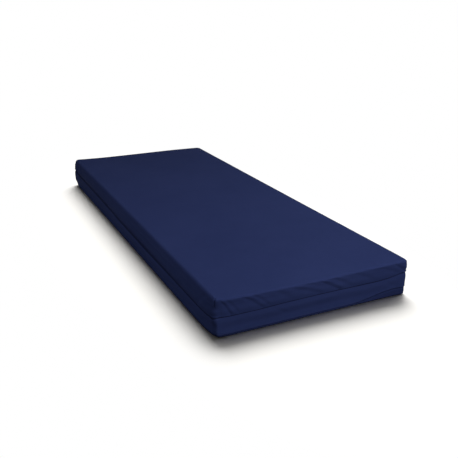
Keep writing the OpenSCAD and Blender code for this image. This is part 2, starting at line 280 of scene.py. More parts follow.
# Outward push at each corner as (height, push): pinched under the top edge, rounding off lower down
cornerShapes = [
    [(0, -1.5), (100, -1.5), (112, -2.6), (128, 0), (150, 0)],
    [(0, -8), (18, -3), (26, 0.5), (36, 4), (80, 5), (90, 7), (97, 4), (104, 0), (113, 3), (124, 3), (132, 0),
     (150, -2)],
    [(0, -5), (10, -1), (20, 1), (60, 1), (72, 0.5), (84, -4), (108, -5), (128, -3.5), (150, -3)],
    [(0, 5), (20, 5), (60, 5.5), (84, 6), (95, 5), (102, 3), (108, 4), (114, 6.5), (122, 7), (130, 5.5),
     (140, 4), (150, 3)],
]
cornerSeam = {
    "deep": 2.4,
    "wide": 1.6,
    "ridge": 0.9,
    "ridgeAt": 3.2,
    "ridgeWide": 1.5,
    "toZ": 108,
    "fadeLow": 8,
    "fadeHigh": 6,
}


def cornerPush(z):
    push = np.zeros(columnCount)
    for gap, shape in zip(cornerGaps, cornerShapes):
        heights, pushes = np.array(shape, float).T
        push += np.interp(z, heights, pushes) * near(gap, 0, cornerReach)
    return push


def seamPush(z):
    # a short upright seam under each corner of the top panel
    seam = cornerSeam
    turn = (columnTurn - quarter / 2) * bed["cornerR"]
    ridges = seam["ridge"] * near(np.abs(turn), seam["ridgeAt"], seam["ridgeWide"])
    groove = ridges - seam["deep"] * near(turn, 0, seam["wide"])
    tall = rising(z, seam["toZ"], seam["fadeLow"]) * smooth((bedHigh - z) / seam["fadeHigh"])
    return np.where(columnBend, groove * tall, 0)


# The top edge sits lower along the right side and the foot, and higher at the left corner of the head end
sag = {
    "foot": 11.5,
    "footReach": 236,
    "footEnds": 15,  # how far short of the corners the foot's sag ends
    "footRound": 0.6,
    "ends": 2.5,
    "endReach": 70,
    "right": 3.0,
    "rightReach": 220,
    "headRise": 5.0,
    "headReach": 230,
    "fromZ": 119,
    "tall": 31,
}


def edgeSag(x, y, z):
    inward = y + halfLong
    between = np.clip(1 - (x / (halfWide - sag["footEnds"])) ** 2, 0, 1) ** sag["footRound"]
    deep = sag["foot"] * between * fading(inward, sag["footReach"])
    ends = sag["ends"] * fading(inward, sag["endReach"])
    right = sag["right"] * fading(halfWide - x, sag["rightReach"])
    rise = sag["headRise"] * fading(np.hypot(x + halfWide, y - halfLong), sag["headReach"])
    return (rise - deep - ends - right) * rising(z, sag["fromZ"], sag["tall"])


def sagged(points, more=0.0, lift=0.0):
    # moves a ring with the edge's sag, as if it lay higher by lift
    x, y, z = points.T
    points[:, 2] += edgeSag(x, y, z + lift) + more
    return points


print("outline ready,", columnCount, "columns")


def addObject(name, data):
    obj = bpy.data.objects.new(name, data)
    bpy.context.scene.collection.objects.link(obj)
    return obj


def shadeFaces(mesh, soft):
    mesh.polygons.foreach_set("use_smooth", [soft] * len(mesh.polygons))


def tidyFaces(points, faces, normals):
    # drops repeated corners and points that no face uses
    kept = []
    for f in faces:
        g = [int(v) for n, v in enumerate(f) if v != f[n - 1]]
        if len(set(g)) > 2:
            kept.append(g)
    used = np.unique(np.concatenate([np.array(g) for g in kept]))
    place = np.full(len(points), -1)
    place[used] = np.arange(len(used))
    faces = [[int(place[v]) for v in g] for g in kept]
    return np.asarray(points)[used], faces, None if normals is None else np.asarray(normals)[used]


def meshObject(name, points, faces, material, normals=None):
    points, faces, normals = tidyFaces(points, faces, normals)
    mesh = bpy.data.meshes.new(name)
    mesh.from_pydata((points * mm).tolist(), [], faces)
    shadeFaces(mesh, True)
    mesh.materials.append(material)
    mesh.update()
    obj = addObject(name, mesh)
    if normals is not None:
        mesh.normals_split_custom_set_from_vertices(normals.tolist())
    return obj


def gridFaces(rows, cols, start=0, closed=True):
    r, c = np.meshgrid(np.arange(rows - 1), np.arange(cols if closed else cols - 1), indexing="ij")
    a, b = start + r * cols + c, start + (r + 1) * cols + c
    e, f = start + (r + 1) * cols + (c + 1) % cols, start + r * cols + (c + 1) % cols
    return np.stack([a, b, e, f], axis=-1).reshape(-1, 4)


def gridNormals(grid):
    # outward normals of a grid of rows, top to bottom, by closed columns
    down = np.gradient(grid, axis=0)
    along = (np.roll(grid, -1, axis=1) - np.roll(grid, 1, axis=1)) / 2
    n = np.cross(down, along)
    return n / np.maximum(np.linalg.norm(n, axis=2, keepdims=True), 1e-9)


def fillPanel(points, ringStart, up):
    # fills a ring whose corners have closed to points with a grid between its opposite sides
    right, head, left, foot = straightOf[0], straightOf[1][::-1], straightOf[2][::-1], straightOf[3]
    nx, ny = len(foot), len(right)
    index = np.full((ny + 2, nx + 2), -1, int)
    index[1:-1, -1], index[1:-1, 0] = right, left
    index[0, 1:-1], index[-1, 1:-1] = foot, head
    index[-1, -1], index[-1, 0], index[0, 0], index[0, -1] = [bend[0] for bend in bendOf]
    index[index >= 0] += ringStart
    p = np.asarray(points)
    x = (p[index[0, 1:-1], 0] + p[index[-1, 1:-1], 0]) / 2
    y = (p[index[1:-1, 0], 1] + p[index[1:-1, -1], 1]) / 2
    xs, ys = np.meshgrid(x, y)
    inner = np.column_stack([xs.ravel(), ys.ravel(), np.full(xs.size, p[ringStart, 2])])
    index[1:-1, 1:-1] = len(p) + np.arange(nx * ny).reshape(ny, nx)
    quads = np.stack([index[:-1, :-1], index[:-1, 1:], index[1:, 1:], index[1:, :-1]], axis=-1)
    quads = quads.reshape(-1, 4)
    return np.vstack([p, inner]), quads if up else quads[:, ::-1]


def panelShell(rows, panelRow, up):
    # a shell of rows with a panel across one of them, whose corners are one point each
    points = np.array(rows).reshape(-1, 3)
    faces = gridFaces(len(rows), columnCount)
    ringStart = panelRow * columnCount
    place = np.arange(columnCount)
    for bend in bendOf:
        place[bend] = bend[0]
    inRing = (faces >= ringStart) & (faces < ringStart + columnCount)
    faces[inRing] = ringStart + place[faces[inRing] - ringStart]
    points, panel = fillPanel(points, ringStart, up)
    return points, [*faces, *panel]


def dress(piece, body, node):
    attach(piece, body)
    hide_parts(node)


# Small node helpers for the materials
def plug(tree, value, socket):
    if isinstance(value, bpy.types.NodeSocket):
        tree.links.new(value, socket)
    else:
        socket.default_value = value


def addNode(tree, kind, settings=None, **inputs):
    node = tree.nodes.new("ShaderNode" + kind)
    for key, value in (settings or {}).items():
        setattr(node, key, value)
    for key, value in inputs.items():
        plug(tree, value, node.inputs[key.replace("_", " ")])
    return node


def mathNode(tree, operation, *values):
    node = addNode(tree, "Math", {"operation": operation})
    for socket, value in zip(node.inputs, values):
        plug(tree, value, socket)
    return node.outputs[0]


def noiseNode(tree, where, scale, detail, rough=0.5):
    return addNode(tree, "TexNoise", Vector=where, Scale=scale, Detail=detail, Roughness=rough).outputs["Fac"]


def bumpNode(tree, height, strength, deep, **under):
    return addNode(tree, "Bump", Strength=strength, Distance=deep, Height=height, **under).outputs[0]


def rampNode(tree, fac, stops):
    node = addNode(tree, "ValToRGB", Fac=fac)
    for element, (place, colour) in zip(node.color_ramp.elements, stops):
        element.position = place
        element.color = (*colour, 1.0)
    return node.outputs[0]


def rowWaves(tree, where, pitch, directions):
    # fine ribs across the given axes, as a height from 0 to 1
    scale = 2 * math.pi / (20 * pitch)  # Blender's bands turn through 20 radians in a unit
    height = None
    for axis in directions:
        bands = {"wave_type": "BANDS", "bands_direction": axis, "wave_profile": "SIN"}
        wave = addNode(tree, "TexWave", bands, Vector=where, Scale=scale, Distortion=0.6, Detail=1.0)
        fac = wave.outputs["Fac"]
        height = fac if height is None else mathNode(tree, "ADD", height, fac)
    return mathNode(tree, "DIVIDE", height, float(len(directions)))


def newMaterial(name):
    mat = bpy.data.materials.new(name)
    mat.use_nodes = True
    mat.node_tree.nodes.clear()
    return mat, mat.node_tree, addNode(mat.node_tree, "TexCoord").outputs["Object"]


def setSurface(tree, **inputs):
    shader = addNode(tree, "BsdfPrincipled", **inputs)
    addNode(tree, "OutputMaterial", Surface=shader.outputs[0])


def shade(colour, share):
    return tuple(c * share for c in colour)


coverLook = {
    "rough": 0.72,
    "roughUneven": 0.14,
    "gloss": 0.005,
    "sheen": 0.008,
    "sheenRough": 0.45,
    "sheenTint": (0.55, 0.62, 0.85, 1),
    "cloud": 0.7,  # how far slow clouds and fine grime set the colour
    "grime": 0.3,
    "rubbed": 0.25,  # how far raised edges go to a paler colour
    "rubbedLift": 1.5,
    "weavePitch": 0.0011,
    "weaveDeep": 0.00005,
    "weaveBump": 0.35,
    "grain": 0.5,
    "slackDeep": 0.0012,
    "slackBump": 0.18,
}


def coatedFabric(name, navy, navyWorn):
    # coated stretch knit: fine knit under a satin coat, slightly uneven in colour and gloss
    look = coverLook
    mat, tree, where = newMaterial(name)
    cloud = noiseNode(tree, where, scale=3.5, detail=4.0, rough=0.55)
    grime = noiseNode(tree, where, scale=38.0, detail=5.0, rough=0.6)
    grimeShare = mathNode(tree, "MULTIPLY", grime, look["grime"])
    mixed = mathNode(tree, "MULTIPLY_ADD", cloud, look["cloud"], grimeShare)
    colour = rampNode(tree, mixed, [(0.36, navy), (0.66, navyWorn)])
    edge = addNode(tree, "NewGeometry").outputs["Pointiness"]
    edge = rampNode(tree, edge, [(0.50, (0, 0, 0)), (0.56, (1, 1, 1))])
    edge = mathNode(tree, "MULTIPLY", edge, look["rubbed"])
    pale = (*shade(navyWorn, look["rubbedLift"]), 1)
    colour = addNode(tree, "Mix", {"data_type": "RGBA"}, Factor=edge, A=colour, B=pale).outputs["Result"]
    smoothest = look["rough"] - look["roughUneven"] / 2
    rough = mathNode(tree, "MULTIPLY_ADD", grime, look["roughUneven"], smoothest)
    weave = rowWaves(tree, where, look["weavePitch"], "XYZ")
    grain = noiseNode(tree, where, scale=900.0, detail=2.0)
    height = mathNode(tree, "MULTIPLY_ADD", grain, look["grain"], weave)
    bump = bumpNode(tree, height, look["weaveBump"], look["weaveDeep"])
    slack = noiseNode(tree, where, scale=26.0, detail=3.0)
    bump = bumpNode(tree, slack, look["slackBump"], look["slackDeep"], Normal=bump)
    setSurface(tree, Base_Color=colour, Roughness=rough, Specular_IOR_Level=look["gloss"], Normal=bump,
               Sheen_Weight=look["sheen"], Sheen_Roughness=look["sheenRough"], Sheen_Tint=look["sheenTint"])
    return mat


coverFabric = coatedFabric("coverFabric", (0.0185, 0.0275, 0.090), (0.0215, 0.0315, 0.100))
# painted light: the base border's navy is paler than the cover's, for the light the floor throws up on it
baseFabric = coatedFabric("baseFabric", (0.0208, 0.0308, 0.100), (0.0240, 0.0350, 0.111))
panelFabric = coatedFabric("panelFabric", (0.0148, 0.0216, 0.071), (0.0172, 0.0250, 0.080))
# painted shade: a dark navy for the gap under the flap and the groove under the seam
paintedGapShade = coatedFabric("paintedGapShade", (0.0084, 0.0123, 0.040), (0.0098, 0.0143, 0.046))
print("fabrics ready")


# The upper cover: top panel, rounded edge and border, then in behind the flap to the zip
upper = {
    "crown": 2.0,
    "reach": 240,
    "crownRows": 26,
    "crownBias": 1.5,
    "cornerOver": 0.55,  # share of the crown over which its corners round off
    "edgeR": [10, 10, 14, 9],
    "edgeRows": 11,
    "borderIn": [0.6, 0.6, 4.5, 0.6],  # the left border leans in at its top
    "borderShares": [0.22, 0.44, 0.64, 0.82, 1.0],
    "draw": 2.5,
    "weldIn": [2.4, 2.4, 2.4, 1.2],
    "hemIn": [-0.7, -0.5, -1.2, -0.8],
    "hangOver": 0.7,
    "belly": [0.3, 0.4, 0.5, 0.3],
    "curl": [0.6, 0.6, 2.5, 0.3],  # how far the flap's last stretch turns in
    "curlFrom": 0.45,
    "behind": [(3.6, 119.7), (4.4, 119.0), (5.2, 118.2), (6.6, 115.6), (8.2, 112.8), (8.9, 111.6), (9.0, 109),
               (9.0, 106.4), (9.14, 105.95), (9.5, 105.8), (9.86, 105.95), (10.0, 106.4), (10.0, 111)],
    "behindFollow": 0.75,  # how much of the border's folds the first row behind follows
    "behindLess": 0.3,  # and how much less each row after it
    "unevenTop": 0.22,
    "topWave": 340,
    "topLower": 1.2,
    "unevenBorder": 0.28,
    "borderWave": 90,
    "borderSlant": (2.2, 0.3),  # how the waves run up the border and lean along it
}
edgeR = bySide(upper["edgeR"])
borderIn = bySide(upper["borderIn"])
borderTop = bedHigh - upper["crown"] - edgeR


def sculptUpper(z):
    # outward push on the border and flap at height z of each column
    tall, slant = upper["borderSlant"]
    waves = softWaves(outlineX + outlineY, z * tall + outlineX * slant, upper["borderWave"], seed=5)
    return foldField(folds, z) + cornerPush(z) + seamPush(z) + upper["unevenBorder"] * waves


def flapDepth(z):
    # how far in the border and flap lie, from under the top edge to the flap's free edge
    above = smooth((borderTop - z) / (borderTop - hem["weldZ"]))
    s = np.clip((hem["weldZ"] - z) / (hem["weldZ"] - hemZ), 0, 1)
    weldIn = bySide(upper["weldIn"])
    hang = (bySide(upper["hemIn"]) - weldIn) * smooth(s / upper["hangOver"])
    hang = hang - bySide(upper["belly"]) * np.sin(math.pi * s)
    curl = bySide(upper["curl"]) * np.clip((s - upper["curlFrom"]) / (1 - upper["curlFrom"]), 0, 1) ** 2
    return borderIn + (weldIn - borderIn) * above + hang + curl


def topUneven(points):
    # slow dips and swells of the foam under the top panel
    waves = softWaves(points[:, 0], points[:, 1], upper["topWave"], seed=3)
    return upper["unevenTop"] * (waves - upper["topLower"])


def upperRows():
    rows = []
    for f in np.linspace(1, 0, upper["crownRows"]) ** upper["crownBias"]:
        d = borderIn + edgeR + f * (upper["reach"] - borderIn - edgeR)
        radius = bed["cornerR"] * float(smooth((1 - f) / upper["cornerOver"]))
        p = ring(d, bedHigh - upper["crown"] * (1 - f) ** 2, 0.0, radius)
        rows.append(sagged(p, topUneven(p)))
    for a in np.linspace(0, quarter, upper["edgeRows"])[1:]:
        out, up = math.sin(a), math.cos(a)
        z = borderTop + edgeR * up
        p = ring(borderIn + edgeR * (1 - out) - sculptUpper(z) * out, z, upper["draw"] * out)
        rows.append(sagged(p, up * topUneven(p)))
    for share in upper["borderShares"]:
        z = borderTop + (hem["splitZ"] - borderTop) * share
        rows.append(sagged(ring(flapDepth(z) - sculptUpper(z), z, upper["draw"] * (1 - share))))
    return rows


def stripRows():
    # the flap's outer face from the split to its free edge
    rows = []
    for q in np.linspace(0, 1, hem["rows"] + 1)[1:]:
        z = hem["splitZ"] + (hemZ + hem["thick"] / 2 - hem["splitZ"]) * q
        rows.append(ring(flapDepth(z) - sculptUpper(z), z))
    return rows


topRows = upperRows()
skin = np.array(topRows + stripRows())
skinNormals = gridNormals(skin)
splitRow = len(topRows) - 1


def innerRadius(d):
    # corners open out from the cover's own to the zip's
    return bed["cornerR"] + (bed["coreR"] - bed["cornerR"]) * rising(d, bed["openFrom"], bed["openOver"])


def buildTopCover():
    rows = list(topRows)
    split = sculptUpper(np.full(columnCount, hem["splitZ"]))
    for n, (d, z) in enumerate(upper["behind"]):
        follow = max(0.0, upper["behindFollow"] - upper["behindLess"] * n)
        rows.append(ring(d - split * follow, z, 0.0, innerRadius(d)))
    points, faces = panelShell(rows, 0, True)
    panelPoints = points[len(rows) * columnCount:]
    panelPoints[:, 2] = bedHigh + topUneven(panelPoints)
    # the border keeps the normals it shares with the flap below it
    normals = np.zeros_like(points)
    first = upper["crownRows"] + 2
    shared = skinNormals[first:splitRow + 1].reshape(-1, 3)
    normals[first * columnCount:(splitRow + 1) * columnCount] = shared
    return meshObject("topCover", points, faces, coverFabric, normals)


topCover = buildTopCover()
dress(topCover, "root", "top_cover")
print("top cover", len(topCover.data.vertices), "points")


def stripSection(cols):
    # closed loops of points round the flap's section, for the given columns
    outer, thick = skin[splitRow:][:, cols], hem["thick"]
    outward = skinNormals[-1][cols].copy()
    outward[:, 2] = 0
    outward /= np.linalg.norm(outward, axis=1, keepdims=True)
    loops = list(outer)
    for a in np.linspace(0, math.pi, hem["edgeSteps"] + 1)[1:]:
        p = outer[-1] - outward * (thick / 2) * (1 - math.cos(a))
        p[:, 2] = hemZ[cols] + thick / 2 - thick / 2 * math.sin(a)
        loops.append(p)
    loops += [outer[r] - outward * thick for r in range(len(outer) - 2, 0, -2)]
    top = outer[0] - outward * thick
    top[:, 2] = hem["backZ"]
    loops = np.array([*loops, top])
    normals = np.zeros_like(loops)
    normals[:len(outer)] = skinNormals[splitRow:][:, cols]
    return loops, normals


def buildStrip(name, groups):
    points, faces, normals, count = [], [], [], 0
    for cols in groups:
        loops, wanted = stripSection(cols)
        rows, across = loops.shape[:2]
        faces += list(gridFaces(rows, across, count, closed=False))
        last = count + (rows - 1) * across
        faces += [[last + c, count + c, count + c + 1, last + c + 1] for c in range(across - 1)]
        faces.append([count + r * across for r in range(rows)][::-1])
        faces.append([count + r * across + across - 1 for r in range(rows)])
        points.append(loops.reshape(-1, 3))
        normals.append(wanted.reshape(-1, 3))
        count += rows * across
    return meshObject(name, np.vstack(points), faces, coverFabric, np.vstack(normals))


def flapColumns(k):
    # the columns of a side between its two slits
    half = sideHalf[k] - bed["flapStop"]
    end = rightFlapEnd + bed["slitHalf"] if k == 0 else half
    return np.flatnonzero((columnSide == k) & (sideRun[k] > -half) & (sideRun[k] < end))


def cornerColumns(x, y):
    # the columns round a corner, from slit to slit
    atSide, atEnd = outlineX * x > halfWide - bed["flapStop"], outlineY * y > halfLong - bed["flapStop"]
    found = np.flatnonzero(atSide & atEnd)
    breaks = np.flatnonzero(np.diff(found) > 1)
    return np.roll(found, -(breaks[0] + 1)) if len(breaks) else found


for k, side in enumerate(sideNames):
    cols = flapColumns(k)
    node = "flap_" + side
    piece = buildStrip("flap" + side.capitalize(), [cols])
    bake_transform(piece)
    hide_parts(node)

flapCorners = buildStrip("flapCorners", [cornerColumns(x, y) for x, y in cornerPlaces])
dress(flapCorners, "root", "flap_corners")
print("flaps ready")


# The lower cover: from the zip out to a lip under the flap, down the border and in under the foam
lower = {
    "inside": [(10.0, 88), (10.0, 93.6), (9.86, 94.05), (9.5, 94.2), (9.14, 94.05), (9.0, 93.6)],
    # the lip under the flap: depth and height from the hem at the foot, then the same at the left
    "lip": [(8.9, 6.0, 9.6, 4.0), (8.6, 4.2, 9.4, 0.0), (7.0, 3.0, 8.6, -3.5), (5.2, 2.0, 7.0, -6.5),
            (4.3, 0.6, 5.0, -9.5), (3.8, -1.6, 3.2, -12.8), (3.3, -4.5, 2.0, -15.5), (2.8, -8.0, 1.3, -18.5),
            (2.4, -12.0, 0.8, -22.0), (2.0, -16.0, 0.5, -26.0), (1.7, -20.0, 0.3, -30.0)],
    "lipTopZ": 93.2,  # the lip stays under the zip, and lower the further out it is
    "lipFall": 0.12,
    "lipSculpt": 5,  # how far in the border's folds reach
    "shadedRows": 6,  # rows of the lip painted dark, as the shade under the flap
    "leftShare": [0.0, 0.4, 1.0, 0.0],
    "leftCloses": (0.7, 250, 700),  # how much the left gap closes, from where and over what length
    "footOpens": (0.12, 60, 260),  # the same for the gap that opens at the foot's right
    "opensWithin": 20,
    "cornerFill": 0.55,
    "fillReach": 40,
    "borderRows": 16,
    "hollow": [1.6, 1.6, 0.4, 1.5],  # how far in the middle of the border lies
    "hollowFromZ": 8,
    "hollowLess": 0.85,  # how much of the hollow is lost at the foot's corners
    "hollowReach": (60, 170),  # left and right
    "full": 0.4,
    "cornerTuck": 5.5,  # how far the left side is tucked in, low down by the foot
    "tuckReach": 90,
    "tuckToZ": 40,
    "seamZ": 9.0,
    "seamRise": 24,
    "riseFoot": (155, 205),  # where the seam starts to climb at the foot and over what length
    "riseSide": (5, 330),  # and how it comes down again along the right side
    "footWithin": 30,
    "sideWithin": 40,
    "seam": [(1.6, 0.0), (0.8, 0.1), (0.2, 0.7), (-0.3, 2.0), (-1.2, 3.0), (-2.4, 2.6), (-3.6, 1.7)],
    "seamStep": 1.4,
    "stepRise": (-4, 10),  # heights over which a thing grows: from, and over how much
    "panelFrom": 2,
    "draw": 2.5,
    "drawOver": 30,
    "drawRise": (1, 14),
    "creaseRise": (6, 14),
    "edgeR": 6,
    "edgeRows": 8,
    "edgeBias": 1.5,
    "underIn": 10,
    "underRows": 8,
    "underSquare": (0.4, 0.6),  # the share of the way in over which the corners close
    "reach": 240,
    "uneven": 0.3,
    "wave": 110,
    "waveSlant": (2.0, 0.2),
}


def seamHeights():
    # the seam to the base panel climbs at the right end of the foot
    footRise = rising(outlineX, *lower["riseFoot"]) * (outlineY < lower["footWithin"] - halfLong)
    sideRise = 1 - rising(outlineY + halfLong, *lower["riseSide"])
    sideRise = sideRise * (outlineX > halfWide - lower["sideWithin"])
    return lower["seamZ"] + lower["seamRise"] * np.maximum(footRise, sideRise)


def lipShares():
    # the gap under the left flap closes towards the foot, and opens a little at the foot's right
    less, *closes = lower["leftCloses"]
    more, *opens = lower["footOpens"]
    share = bySide(lower["leftShare"]) * (1 - less * rising(-outlineY, *closes))
    atFoot = outlineY < lower["opensWithin"] - halfLong
    return np.maximum(share, more * rising(outlineX, *opens) * atFoot)


seamZ = seamHeights()
lipShare = lipShares()
lipFill = 1 - lower["cornerFill"] * sum(near(gap, 0, lower["fillReach"]) for gap in cornerGaps)
lipIn = [(foot + (left - foot) * lipShare) * lipFill for foot, _, left, _ in lower["lip"]]
lipZ = [hemZ + foot + (left - foot) * lipShare for _, foot, _, left in lower["lip"]]
hollowIn = bySide(lower["hollow"])
for gap, reach in zip((nearLeft, nearRight), lower["hollowReach"]):
    hollowIn = hollowIn * (1 - lower["hollowLess"] * near(gap, 0, reach))


def lowerDepth(z):
    # the border's depth under its lip: hollow in the middle, full again at the bottom edge
    r = lower["edgeR"]
    share = (z - lower["hollowFromZ"]) / (lipZ[-1] - lower["hollowFromZ"])
    hollow = hollowIn * np.sin(math.pi * np.clip(share, 0, 1)) ** 2
    a = np.clip((r - z) / r, 0, 1)
    full = lower["full"] + (lipIn[-1] - lower["full"]) * smooth(share)
    return full + hollow + r * (1 - np.sqrt(1 - a * a))


def sculptLower(z):
    tall, slant = lower["waveSlant"]
    waves = softWaves(outlineX + outlineY, z * tall - outlineY * slant, lower["wave"], seed=9)
    creases = (foldField(baseFolds, z) + lower["uneven"] * waves) * rising(z, *lower["creaseRise"])
    onLeft = smooth((bed["cornerR"] - halfWide - outlineX) / bed["cornerR"])
    tuck = lower["cornerTuck"] * near(nearLeft, 0, lower["tuckReach"]) * onLeft
    return creases + cornerPush(z) - tuck * (1 - rising(z, lower["tuckToZ"], lower["tuckToZ"]))


def lowerRows():
    rows = []

    def borderRow(z, draw, inset=0.0):
        rows.append(ring(lowerDepth(z) - sculptLower(z) + inset, z, lower["draw"] * draw))

    for d, z in lower["inside"]:
        rows.append(ring(d, z, 0.0, bed["coreR"]))
    zipIn = lower["inside"][-1][0]
    for d, z in zip(lipIn, lipZ):
        z = np.minimum(z, lower["lipTopZ"] - lower["lipFall"] * (zipIn - d))
        follow = smooth((lower["lipSculpt"] - d) / lower["lipSculpt"])
        rows.append(ring(d - sculptLower(z) * follow, z, 0.0, innerRadius(d)))
    top = lipZ[-1]
    seamTop = seamZ + lower["seam"][0][0]
    for q in np.linspace(0, 1, lower["borderRows"])[1:-1]:
        z = top + (seamTop - top) * q
        borderRow(z, smooth((top - z) / lower["drawOver"]))
    for step, inset in lower["seam"]:
        z = seamZ + step
        borderRow(z, rising(z, *lower["drawRise"]), inset)
    last = seamZ + lower["seam"][-1][0]
    for q in np.linspace(0, 1, lower["edgeRows"] + 1)[1:]:
        z = last * (1 - q) ** lower["edgeBias"]
        inset = lower["seamStep"] * rising(z, *lower["stepRise"])
        borderRow(z, rising(z, *lower["drawRise"]), inset)
    for q in np.linspace(0, 1, lower["underRows"] + 1)[1:]:
        d = lower["underIn"] + (lower["reach"] - lower["underIn"]) * q
        rows.append(ring(d, 0.0, 0.0, bed["cornerR"] * float(1 - rising(q, *lower["underSquare"]))))
    return rows


def buildBaseCover():
    rows = lowerRows()
    points, faces = panelShell(rows, len(rows) - 1, False)
    obj = meshObject("baseCover", points, faces, baseFabric)
    # the base panel, from the seam down, is darker; the lip under the flap and the groove just under the seam
    # are painted dark navy, as the shade that falls in them
    for material in (panelFabric, paintedGapShade):
        obj.data.materials.append(material)
    seamRow = len(lower["inside"]) + len(lower["lip"]) + lower["borderRows"] - 2 + lower["panelFrom"]
    wanted = np.zeros(len(obj.data.polygons), int)
    wanted[seamRow * columnCount:] = 1
    wanted[:(len(lower["inside"]) + lower["shadedRows"]) * columnCount] = 2
    wanted[(seamRow + 1) * columnCount:(seamRow + 4) * columnCount] = 2
    obj.data.polygons.foreach_set("material_index", wanted)
    return obj


baseCover = buildBaseCover()
dress(baseCover, "root", "base_cover")
print("base cover", len(baseCover.data.vertices), "points")


# Zip: woven tapes, a chain of small teeth, the stop, and the slider with its pull
sliderY, zipZ = (sum(boxMm("zip_slider")) / 2)[1:]
zipper = {
    "tapeIn": 10.3,
    "tapeThick": 0.8,
    "tapeLow": 0.9,  # heights are from the zip's middle line
    "tapeHigh": 11.8,
    "tapeRib": 0.06,
    "ribsFront": 9,
    "ribsBack": 5,
    "chainIn": 8.0,
    "chainThick": 2.2,
    "chainLow": 0.8,
    "chainWide": 3.2,
    "toothPitch": 3.1,
    "toothTurn": 0.8,  # how far to each side a tooth takes its direction from
    "toothLong": 1.7,
    "tapeNavy": (0.0085, 0.0115, 0.034),
    "toothNavy": (0.010, 0.014, 0.040),
    "steel": (0.42, 0.43, 0.44),
    "sharpDeg": 38,
}


def zipTapeLook():
    mat, tree, where = newMaterial("zipTapeWeave")
    ribs = rowWaves(tree, where, pitch=0.0009, directions="Z")
    rows = rowWaves(tree, where, pitch=0.0014, directions="XY")
    both = mathNode(tree, "MULTIPLY", ribs, rows)
    # painted shade: the weave's low places are darker, as the shade between the yarns
    colour = rampNode(tree, both, [(0.1, shade(zipper["tapeNavy"], 0.7)), (0.75, zipper["tapeNavy"])])
    bump = bumpNode(tree, both, strength=0.6, deep=0.00015)
    setSurface(tree, Base_Color=colour, Roughness=0.85, Specular_IOR_Level=0.15, Normal=bump)
    return mat


def toothLook():
    mat, tree, where = newMaterial("zipToothPlastic")
    speck = noiseNode(tree, where, scale=420.0, detail=3.0)
    colour = rampNode(tree, speck, [(0.35, zipper["toothNavy"]), (0.7, shade(zipper["toothNavy"], 1.5))])
    rough = mathNode(tree, "MULTIPLY_ADD", speck, 0.2, 0.3)
    bump = bumpNode(tree, speck, strength=0.2, deep=0.0001)
    setSurface(tree, Base_Color=colour, Roughness=rough, Normal=bump)
    return mat


def steelLook():
    # nickel-plated zinc, brushed along the zip and dulled at random
    mat, tree, where = newMaterial("zipNickel")
    long = addNode(tree, "Mapping", Vector=where, Scale=(1600, 90, 1600)).outputs[0]
    brush = noiseNode(tree, long, scale=1.0, detail=4.0, rough=0.6)
    cloud = noiseNode(tree, where, scale=260.0, detail=3.0)
    colour = rampNode(tree, cloud, [(0.35, shade(zipper["steel"], 0.78)), (0.65, zipper["steel"])])
    rough = mathNode(tree, "MULTIPLY_ADD", brush, 0.3, 0.2)
    bump = bumpNode(tree, brush, strength=0.25, deep=0.00005)
    setSurface(tree, Base_Color=colour, Roughness=rough, Metallic=1.0, Normal=bump)
    return mat


tapeWeave, toothPlastic, nickel = zipTapeLook(), toothLook(), steelLook()


def buildTape(name, up):
    # a woven band, ribbed along both faces, with rounded edges
    low, high, rib = zipper["tapeLow"], zipper["tapeHigh"], zipper["tapeRib"]
    front, back = zipper["tapeIn"], zipper["tapeIn"] + zipper["tapeThick"]
    section = [(back - 0.05, high), (front + 0.1, high), (front, high - 0.5)]
    ribs = np.linspace(high - 1.2, low + 1.6, zipper["ribsFront"])
    section += [(front + rib * (n % 2), z) for n, z in enumerate(ribs)]
    section += [(front, low + 0.5), (front + 0.15, low + 0.1), (front + 0.4, low)]
    section += [(back - 0.15, low + 0.1), (back, low + 0.5)]
    ribs = np.linspace(low + 1.6, high - 1.0, zipper["ribsBack"])
    section += [(back - rib * (n % 2), z) for n, z in enumerate(ribs)]
    if up < 0:
        section = section[::-1]
    rows = [ring(d, zipZ + up * z, 0.0, bed["coreR"]) for d, z in section]
    points = np.array(rows).reshape(-1, 3)
    faces = gridFaces(len(rows) + 1, columnCount) % len(points)
    return meshObject(name, points, faces, tapeWeave)


def ringFrames(d, pitch):
    # evenly spaced places round a ring: point, direction along it and direction out
    xy = ringXY(d, 0.0, bed["coreR"])
    loop = np.vstack([xy, xy[:1]])
    run = np.concatenate([[0], np.cumsum(np.linalg.norm(np.diff(loop, axis=0), axis=1))])
    count = int(run[-1] // pitch)
    at = np.arange(count) * run[-1] / count

    def pointsAt(where):
        return np.stack([np.interp(where, run, loop[:, 0]), np.interp(where, run, loop[:, 1])], axis=1)

    step = zipper["toothTurn"]
    along = pointsAt((at + step) % run[-1]) - pointsAt((at - step) % run[-1])
    along /= np.linalg.norm(along, axis=1, keepdims=True)
    return pointsAt(at), along, np.stack([along[:, 1], -along[:, 0]], axis=1)


